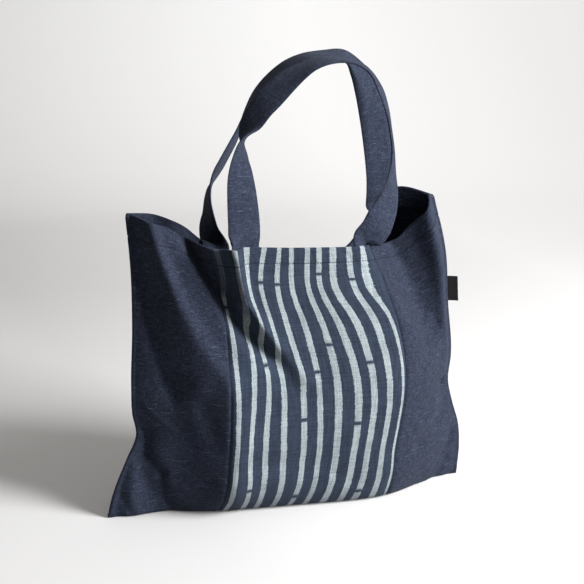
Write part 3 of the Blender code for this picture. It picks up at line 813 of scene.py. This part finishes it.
def columns_across(start, end, fine_start, fine_end):
    """Places of the columns, close together where the sheet ends in a join."""
    step = WALL_COLUMN / FLAT_WIDTH
    low = start + (np.array(JOIN_COLUMNS) / FLAT_WIDTH if fine_start else np.zeros(1))
    high = end - (np.array(JOIN_COLUMNS[::-1]) / FLAT_WIDTH if fine_end else np.zeros(1))
    count = round((high[0] - low[-1]) / step)
    return np.concatenate([low[:-1], np.linspace(low[-1], high[0], count), high[1:]])


def round_foot(points, floor):
    """Turn the wall's foot under in a small curve."""
    lack = np.clip(1.0 - (points[..., 2] - floor) / FOOT_ROUND, 0.0, 1.0)
    pull = FOOT_ROUND * (1.0 - np.sqrt(np.clip(1.0 - lack**2, 0.0, 1.0)))
    side = np.sign(points[..., 1])
    reach = np.abs(points[..., 1])
    points[..., 1] = side * np.maximum(reach - pull, np.minimum(reach, FOOT_LEAST))
    return points


def grid_normal(points, front):
    """Outward normals of a grid of points."""
    normal = np.cross(np.gradient(points, axis=0), np.gradient(points, axis=1))
    return (1.0 if front else -1.0) * normal / np.linalg.norm(normal, axis=-1, keepdims=True)


def rim_round(down, wall):
    """How far either face of the hem turns in at its top edge."""
    lack = np.clip(1.0 - down * CORNER_HEIGHT / (wall / 2), 0.0, 1.0)
    return wall / 2 * (1.0 - np.sqrt(np.clip(1.0 - lack**2, 0.0, 1.0))) * 0.9


def flat_layer(widths, lengths):
    """Place of every point of a grid on the flat cloth, in metres."""
    return np.stack(np.broadcast_arrays(widths[None, :], lengths[:, None]), axis=-1)


def rounded_edge(share, power, least):
    """Share of a sheet's thickness that is left towards its border."""
    return np.sqrt(np.clip(1.0 - share**power, least, 1.0))


def quad_faces(rows, columns, offset=0, flip=False):
    """Faces of a grid of points."""
    at = np.arange(rows * columns).reshape(rows, columns) + offset
    quads = np.stack([at[:-1, :-1], at[1:, :-1], at[1:, 1:], at[:-1, 1:]], axis=-1).reshape(-1, 4)
    return quads[:, ::-1] if flip else quads


def shell(name, outer, inner, cloth, material, stripe=None, stripe_gaps_and_shade=None):
    """Closed sheet between two grids of points, with its cloth layer in metres."""
    rows, columns = outer.shape[:2]
    count = rows * columns
    at = np.arange(count).reshape(rows, columns)
    border = np.concatenate([at[:, 0], at[-1, 1:], at[-2::-1, -1], at[0, -2:0:-1]])
    after = np.roll(border, -1)
    rim = np.stack([after, border, count + border, count + after], axis=-1)
    faces = np.concatenate([quad_faces(rows, columns),
                            quad_faces(rows, columns, offset=count, flip=True), rim])
    points = np.concatenate([outer.reshape(-1, 3), inner.reshape(-1, 3)])
    layers = [None if layer is None else np.concatenate([layer, layer])
              for layer in (cloth, stripe, stripe_gaps_and_shade)]
    return put_mesh(name, points, faces, material, *layers)


def put_mesh(name, points, faces, material, cloth, stripe=None, stripe_gaps_and_shade=None):
    """Mesh object with its cloth layer, and its stripe layer and its layer of stripe gaps and
    painted shade if it has them.
    """
    mesh = bpy.data.meshes.new(name)
    mesh.from_pydata(np.asarray(points, float).tolist(), [], np.asarray(faces).tolist())
    corners = np.asarray(faces).reshape(-1)
    for layer, values in (("cloth", cloth), ("stripe", stripe)):
        if values is not None:
            made = mesh.uv_layers.new(name=layer)
            flat = np.asarray(values, np.float32).reshape(-1, 2)
            made.data.foreach_set("uv", flat[corners].reshape(-1))
    if stripe_gaps_and_shade is not None:
        made = mesh.attributes.new("stripe_gaps_and_shade", "FLOAT", "POINT")
        made.data.foreach_set("value", np.asarray(stripe_gaps_and_shade, np.float32).reshape(-1))
    mesh.materials.append(material)
    mesh.shade_smooth()
    mesh.set_sharp_from_angle(angle=math.radians(60))
    mesh.update()
    return add_object(name, mesh)


def stripe_layer(across, down, start, end):
    """Stripe coordinate of each point, so that the stripes run as in STRIPE_RUNS."""
    share = (across[0] - start) / (end - start)
    runs = spline(STRIPE_DOWNS, STRIPE_RUNS, down[:, 0])
    return np.array([np.interp(share, run, STRIPE_PLACES) for run in runs])


def gap_and_shade_layer(stripe, down):
    """How far the stripes are dimmed at each point, from 0 to 1: by gaps that are partly uneven
    print and partly painted crease shade, and by stretches of painted shade.
    """
    gaps_and_shade = np.zeros(stripe.shape)
    for number, level in STRIPE_GAPS:
        off_across = (stripe - STRIPE_PLACES[number]) * CENTRE_WIDTH / GAP_WIDTH
        off_down = (down - level) * CORNER_HEIGHT / GAP_LENGTH
        gaps_and_shade = np.maximum(gaps_and_shade, GAP_DEPTH * np.exp(-off_across**2 - off_down**2))
    # Painted shade of the dark wedge, on stripes 1 and 2.
    for number, start, end, amount in PAINTED_STRIPE_SHADE:
        off_across = (stripe - STRIPE_PLACES[number]) * CENTRE_WIDTH / GAP_WIDTH
        inside = smooth_step((down - start) / FADE_RUN) * smooth_step((end - down) / FADE_RUN)
        gaps_and_shade = np.maximum(gaps_and_shade, amount * inside * np.exp(-off_across**4))
    return gaps_and_shade


def cloth_panel(name, start, end, front, material, joins, striped=False):
    """One panel of the bag at full detail."""
    columns = columns_across(start, end, joins[0], joins[1])
    levels = rows_down()
    across, down = np.broadcast_arrays(columns[None, :], levels[:, None])
    outer = wall_point(across, down, front)
    normal = grid_normal(outer, front)
    inner = outer - normal * wall_thickness(down)[..., None]
    inner[..., 2] = np.maximum(inner[..., 2], CLOTH_WALL)
    turn = rim_round(down, wall_thickness(down))
    inside_turn = turn.copy()
    stitch = (down * CORNER_HEIGHT - HEM_STITCH) / HEM_GROOVE_REACH
    turn += HEM_GROOVE * np.exp(-stitch**2)
    for edge, joined in ((start, joins[0]), (end, joins[1])):
        if joined:
            off = np.abs(across - edge) * FLAT_WIDTH / JOIN_REACH
            turn += JOIN_GROOVE * np.exp(-off**2) * smooth_step(down * CORNER_HEIGHT / JOIN_FADE)
    outer = round_foot(outer - normal * turn[..., None], 0.0)
    inner = round_foot(inner + normal * inside_turn[..., None], CLOTH_WALL)
    side = -1.0 if front else 1.0
    for grid in (outer, inner):
        grid[..., 1] = side * np.maximum(side * grid[..., 1], SEAM_GAP / 2)
    outer = with_floor(outer, 0.0)
    inner = with_floor(inner, CLOTH_WALL)
    fall = np.linalg.norm(np.diff(outer, axis=0), axis=-1).mean(axis=1)
    reach = np.concatenate([[0.0], np.cumsum(fall)])
    cloth = flat_layer(columns * FLAT_WIDTH, reach)
    stripe = stripe_gaps_and_shade = None
    if striped:
        places = stripe_layer(across, down, start, end)
        # Print gaps and painted shade on the stripes.
        gaps_and_shade = gap_and_shade_layer(places, down)
        extra = outer.shape[0] - places.shape[0]
        places = np.concatenate([places, np.repeat(places[-1:], extra, axis=0)])
        stripe_gaps_and_shade = np.concatenate([gaps_and_shade, np.zeros((extra, places.shape[1]))])
        stripe = np.stack([places, cloth[..., 1]], axis=-1)
    if not front:
        outer, inner, cloth = outer[:, ::-1], inner[:, ::-1], cloth[:, ::-1]
    return shell(name, outer, inner, cloth, material, stripe, stripe_gaps_and_shade)


def strap(name, route, spread, shift, front, material):
    """Flat handle with rounded edges."""
    surface = route_sections(route, spread, shift, front)
    share = np.linspace(-1.0, 1.0, STRAP_POINTS)
    half = STRAP_THICKNESS / 2 * rounded_edge(share, 10, 0.04)
    beside = (np.abs(share) - EDGE_PLACE) / EDGE_HALF
    half = half - STRAP_THICKNESS * EDGE_DEPTH * np.exp(-beside**2)
    lift = grid_normal(surface, True) * half[None, :, None]
    cloth = flat_layer(share * STRAP_WIDTH / 2, run_along(surface[:, STRAP_POINTS // 2]))
    return shell(name, surface + lift, surface - lift, cloth, material)


def read_along(values, run, places):
    """Rows of values at distances along a line."""
    return np.stack([np.interp(places, run, values[:, k]) for k in range(3)], axis=-1)


def hem_stitches(name, front, material):
    """Row of short thread stitches that holds the folded hem, all along one side of the bag."""
    across = np.linspace(STITCH_MARGIN, 1.0 - STITCH_MARGIN, STITCH_POINTS)
    down = np.full(across.shape, HEM_STITCH / CORNER_HEIGHT)
    normals = wall_normal(across, down, front)
    points = wall_point(across, down, front) - normals * (HEM_GROOVE - STITCH_LIFT)
    run = run_along(points)
    part, wide, lift = np.array(STITCH_RINGS).T[..., None]
    centres = np.arange(STITCH_PITCH / 2, run[-1], STITCH_PITCH)
    places = centres[:, None] + part[:, 0] * STITCH_LENGTH
    middle = read_along(points, run, places)
    up = read_along(normals, run, places)
    ahead = read_along(points, run, places + STITCH_AHEAD) - middle
    ahead /= np.linalg.norm(ahead, axis=-1, keepdims=True) + 1e-9
    side = np.cross(ahead, up)
    rings = middle + up * STITCH_RADIUS * lift
    turn = np.linspace(0.0, 2.0 * math.pi, STITCH_SIDES, endpoint=False)[:, None]
    around = np.cos(turn) * side[:, :, None] + 0.7 * np.sin(turn) * up[:, :, None]
    thread = rings[:, :, None] + STITCH_RADIUS * wide[..., None] * around
    at = np.arange(thread[..., 0].size).reshape(thread.shape[:3])
    after = np.roll(at, -1, axis=2)
    faces = np.stack([at[:, :-1], after[:, :-1], after[:, 1:], at[:, 1:]], axis=-1)
    return put_mesh(name, thread.reshape(-1, 3), faces.reshape(-1, 4), material,
                    thread[..., [0, 2]])


def side_tab(name, material):
    """Folded tape that stands out of the right side seam."""
    heights = np.linspace(TAB_TOP, TAB_TOP - TAB_HEIGHT, TAB_ROWS)
    downs = 1.0 - heights / CORNER_HEIGHT
    starts = wall_point(np.ones(TAB_ROWS), downs, True)[:, 0] + SEAM_GAP
    shares = np.linspace(0.0, 1.0, TAB_COLUMNS)
    grid = np.zeros((TAB_ROWS, TAB_COLUMNS, 3))
    grid[..., 0] = starts[:, None] + shares * TAB_OUT
    grid[..., 1] = TAB_WAVE * np.sin(shares * TAB_WAVE_TURN)[None, :]
    grid[..., 2] = heights[:, None] - shares * TAB_DROOP
    border = np.abs(np.linspace(-1.0, 1.0, TAB_ROWS))
    half = TAB_WALL / 2 * rounded_edge(shares, 8, 0.03)
    half = half[None, :] * rounded_edge(border, 12, 0.15)[:, None]
    outer = grid.copy()
    outer[..., 1] -= half
    inner = grid.copy()
    inner[..., 1] += half
    return shell(name, outer, inner, flat_layer(shares * TAB_OUT, heights), material)


def join_tape(name, share, material):
    """Seam allowance that closes a join from the inside."""
    reach = TAPE_HALF / FLAT_WIDTH
    columns = np.linspace(share - reach, share + reach, TAPE_COLUMNS)
    levels = np.linspace(TAPE_TOP, TAPE_FOOT, TAPE_ROWS)
    across, down = np.broadcast_arrays(columns[None, :], levels[:, None])
    normal = wall_normal(across, down, True)
    face = wall_point(across, down, True) - normal * (CLOTH_WALL + TAPE_GAP)
    back = face - normal * TAPE_WALL
    flat = flat_layer(columns * FLAT_WIDTH, levels * CORNER_HEIGHT)
    return shell(name, face, back, flat, material)


# Camera
camera_data = bpy.data.cameras.new("camera")
camera_data.lens = CAMERA_LENS
camera_data.sensor_width = SENSOR_WIDTH
camera = add_object("camera", camera_data)
camera.location = CAMERA_PLACE
aim = Vector(CAMERA_TARGET) - Vector(CAMERA_PLACE)
camera.rotation_euler = aim.to_track_quat("-Z", "Y").to_euler()
bpy.context.scene.camera = camera

# Pieces
stations = station_places()
half_gap = JOIN_GAP / FLAT_WIDTH / 2
left = cloth_panel("left_cloth", 0.0, stations[2] - half_gap, True, LINEN, (False, True))
centre = cloth_panel("centre_cloth", stations[2] + half_gap, stations[4] - half_gap, True, TWILL,
                     (True, True), striped=True)
right = cloth_panel("right_cloth", stations[4] + half_gap, 1.0, True, LINEN, (True, False))
back = cloth_panel("back_cloth", 0.0, 1.0, False, LINEN, (False, False))
front_strap = strap("front_strap", FRONT_ROUTE, FRONT_SPREAD, FRONT_SHIFT, True, STRAP_LINEN)
back_strap = strap("back_strap", BACK_ROUTE, BACK_SPREAD, BACK_SHIFT, False, STRAP_LINEN)
tab = side_tab("tab_tape", TAB_LOOK)
front_stitches = hem_stitches("front_hem_stitches", True, DARK_THREAD)
back_stitches = hem_stitches("back_hem_stitches", False, DARK_THREAD)
left_tape = join_tape("left_join_tape", stations[2], LINEN)
right_tape = join_tape("right_join_tape", stations[4], LINEN)

for piece, node, slot in ((left, "left_panel", "indigo_linen"),
                          (centre, "centre_panel", "striped_twill"),
                          (right, "right_panel", "indigo_linen"),
                          (back, "back_panel", "indigo_linen"),
                          (front_strap, "front_handle", "strap_linen"),
                          (back_strap, "back_handle", "strap_linen"),
                          (tab, "side_tab", "tab_cloth")):
    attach(piece, "root")
    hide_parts(node)
for piece, slot in ((front_stitches, "indigo_linen"), (back_stitches, "indigo_linen"),
                    (left_tape, "indigo_linen"), (right_tape, "indigo_linen")):
    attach(piece, "root")


# Backdrop, in metres: a floor, a curve and a wall. The floor lies a little under the bag.
STAGE_HALF = 6.0
STAGE_FRONT = -5.0
CURVE_START = 1.6
CURVE_RADIUS = 0.6
CURVE_STEPS = 24
WALL_TOP = 4.0
STAGE_DROP = 0.0002
PAPER = (0.42, 0.42, 0.425, 1.0)
# Strength of the paper's painted glow that stands in for lamp light on it, and the places between
# which it grows to the back and right
FLOOR_GLOW = 0.035
WALL_GLOW = 0.19
RIGHT_GLOW = 0.40
GLOW_BACK = (1.0, 2.2)
GLOW_RIGHT = (-0.1, 0.8)


def backdrop_material():
    """Matt paper with painted light: it glows a little more towards the wall and the right."""
    graph = Graph("backdrop_look")
    place = graph.node("ShaderNodeNewGeometry").outputs["Position"]
    x, y = graph.node("ShaderNodeSeparateXYZ", place).outputs[:2]
    behind = graph.spread(y, *GLOW_BACK, FLOOR_GLOW, WALL_GLOW)
    rightward = graph.spread(x, *GLOW_RIGHT, 0.0, RIGHT_GLOW)
    glow = graph.math("ADD", behind, rightward)
    graph.fill(graph.surface, {"Base Color": PAPER, "Roughness": 0.9, "Specular IOR Level": 0.1,
                               "Emission Color": (1.0, 1.0, 1.0, 1.0), "Emission Strength": glow})
    return graph.material


def make_stage():
    """Pale floor that curves up into a wall."""
    profile = [(STAGE_FRONT, 0.0), (CURVE_START, 0.0)]
    for step in range(1, CURVE_STEPS + 1):
        turn = step / CURVE_STEPS * math.pi / 2
        profile.append((CURVE_START + CURVE_RADIUS * math.sin(turn),
                        CURVE_RADIUS - CURVE_RADIUS * math.cos(turn)))
    profile.append((CURVE_START + CURVE_RADIUS, WALL_TOP))
    points = [(x, y, z - STAGE_DROP) for y, z in profile for x in (-STAGE_HALF, STAGE_HALF)]
    faces = [(2 * k, 2 * k + 1, 2 * k + 3, 2 * k + 2) for k in range(len(profile) - 1)]
    mesh = bpy.data.meshes.new("backdrop")
    mesh.from_pydata(points, [], faces)
    mesh.shade_smooth()
    mesh.materials.append(backdrop_material())
    add_object("backdrop", mesh)


make_stage()

# Key light: turn from straight ahead towards the right, rise above the level, and distance
KEY_TURN = math.radians(43.0)
KEY_RISE = math.radians(26.0)
KEY_REACH = 2.1
KEY_AIM = (0.0, 0.0, 0.15)
KEY_SIZE = (0.95, 0.95)
KEY_SPREAD = math.radians(95.0)
KEY_POWER = 48.0
# Fill light: the way it comes from, then the ranges of direction and strength
FILL_WAY = (0.55, 0.25, 0.80)
FILL_RANGE = (-0.5, 1.0, 0.05, 0.85)
FILL_COLOUR = (1.0, 0.95, 0.88, 1.0)


def key_light():
    """Soft lamp in front of the bag and to its right."""
    data = bpy.data.lights.new("key", "AREA")
    data.shape = "RECTANGLE"
    data.size, data.size_y = KEY_SIZE
    data.energy = KEY_POWER
    data.spread = KEY_SPREAD
    light = add_object("key", data)
    light.location = (KEY_REACH * math.sin(KEY_TURN) * math.cos(KEY_RISE),
                      -KEY_REACH * math.cos(KEY_TURN) * math.cos(KEY_RISE),
                      KEY_REACH * math.sin(KEY_RISE) + KEY_AIM[2])
    aim_along = Vector(KEY_AIM) - light.location
    light.rotation_euler = aim_along.to_track_quat("-Z", "Y").to_euler()


def fill_light():
    """Warm light from all round, strongest from above and the right."""
    world = bpy.data.worlds.new("world")
    world.use_nodes = True
    tree = world.node_tree
    toward = tree.nodes.new("ShaderNodeVectorMath")
    toward.operation = "DOT_PRODUCT"
    toward.inputs[1].default_value = FILL_WAY
    tree.links.new(tree.nodes.new("ShaderNodeTexCoord").outputs["Generated"], toward.inputs[0])
    fill = tree.nodes.new("ShaderNodeMapRange")
    for socket, number in zip(fill.inputs[1:], FILL_RANGE):
        socket.default_value = number
    tree.links.new(toward.outputs["Value"], fill.inputs[0])
    background = tree.nodes["Background"]
    tree.links.new(fill.outputs[0], background.inputs["Strength"])
    background.inputs["Color"].default_value = FILL_COLOUR
    bpy.context.scene.world = world


key_light()
fill_light()
bpy.context.scene.view_settings.view_transform = "Standard"
bpy.context.scene.view_settings.look = "None"
